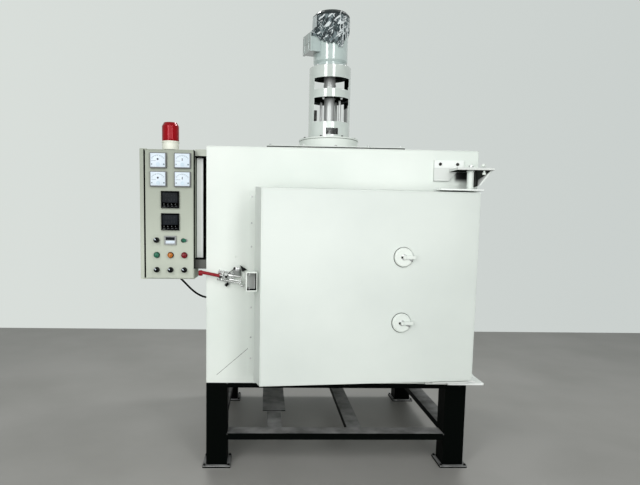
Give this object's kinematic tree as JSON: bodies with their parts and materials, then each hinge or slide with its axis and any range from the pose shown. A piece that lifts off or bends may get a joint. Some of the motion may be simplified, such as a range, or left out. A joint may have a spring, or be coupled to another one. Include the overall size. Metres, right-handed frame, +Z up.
{
  "type": "box tempering furnace",
  "caption": "Insulated box tempering furnace on a legged stand, with a side-hinged door, a roof-mounted circulating fan drive and a side control cabinet.",
  "frame": {"origin": "centre of the whole outline in plan, at ground level", "axes": "+Z up; the door side faces -Y; +X is to the right seen from the front"},
  "size_m": [1.882, 1.603, 2.75],
  "materials": {
    "black_paint": "satin",
    "white_paint": "satin",
    "fibre_lining": "matt",
    "drive_paint": "satin",
    "cabinet_paint": "textured",
    "steel": "plain",
    "black_plastic": "satin",
    "white_plastic": "satin",
    "cream_plastic": "satin",
    "red_lens": "clear gloss",
    "red_plastic": "gloss",
    "orange_plastic": "gloss",
    "green_plastic": "gloss",
    "cable_black": "matt"
  },
  "bodies": {
    "furnace": {"legs": "black_paint", "foot_plates": "black_paint", "lower_beams": "black_paint", "upper_beams": "black_paint", "mid_rails": "black_paint", "roof_plate": "white_paint", "mount_strut": "white_paint", "casing_sides": "white_paint", "casing_back": "white_paint", "casing_floor": "white_paint", "casing_roof": "white_paint", "casing_front": "white_paint", "lining_sides": "fibre_lining", "lining_back": "fibre_lining", "lining_floor": "fibre_lining", "lining_roof": "fibre_lining", "lining_front": "fibre_lining", "throat_flange": "white_paint", "drive_flange": "drive_paint", "lantern": "drive_paint", "motor": "drive_paint", "fan_cowl": "drive_paint", "terminal_box": "drive_paint", "hinge_brackets": "white_paint", "latch_base": "steel", "cabinet_shell": "cabinet_paint", "cabinet_band": "cabinet_paint", "cabinet_mount": "cabinet_paint", "beacon_base": "cream_plastic", "beacon_lens": "red_lens", "cable_glands": "black_plastic", "cabinet_cable": "cable_black"},
    "door": {"door_casing": "white_paint", "door_plug": "fibre_lining", "door_hinges": "white_paint", "port_covers": "white_paint", "latch_keeper": "white_paint"},
    "latch_lever": {"latch_lever": "steel", "latch_grip": "red_plastic"},
    "latch_hook": {"latch_hook": "steel"},
    "fan_rotor": {"drive_shaft": "steel", "fan_wheel": "steel"},
    "cabinet_door": {"cabinet_leaf": "cabinet_paint", "meters": "white_plastic", "controllers": "black_plastic", "counter": "black_plastic", "green_buttons": "green_plastic", "orange_button": "orange_plastic", "red_button": "red_plastic", "selector_knobs": "black_plastic"}
  },
  "joints": [
    {"name": "door_swing", "type": "hinge", "parent": "furnace", "child": "door", "pos_m": [0.828, -0.59652, 1.697], "axis": [0, 0, 1], "range_deg": [-6.1, 105]},
    {"name": "latch_turn", "type": "hinge", "parent": "furnace", "child": "latch_lever", "pos_m": [-0.484, -0.54452, 1.103], "axis": [0.1908, 0, 0.9816], "range_deg": [0, 100]},
    {"name": "hook_turn", "type": "hinge", "parent": "latch_lever", "child": "latch_hook", "pos_m": [-0.49971, -0.54452, 1.10605], "axis": [0.1908, 0, 0.9816], "range_deg": [-100, 0]},
    {"name": "fan_spin", "type": "hinge", "parent": "furnace", "child": "fan_rotor", "pos_m": [0.143, 0.14148, 1.952], "axis": [0, 0, 1], "continuous": true},
    {"name": "cabinet_open", "type": "hinge", "parent": "furnace", "child": "cabinet_door", "pos_m": [-0.91, -0.55552, 1.089], "axis": [0, 0, -1], "range_deg": [0, 90]}
  ],
  "couplings": [
    {"joint": "hook_turn", "follows": "latch_turn", "ratio": -1}
  ]
}
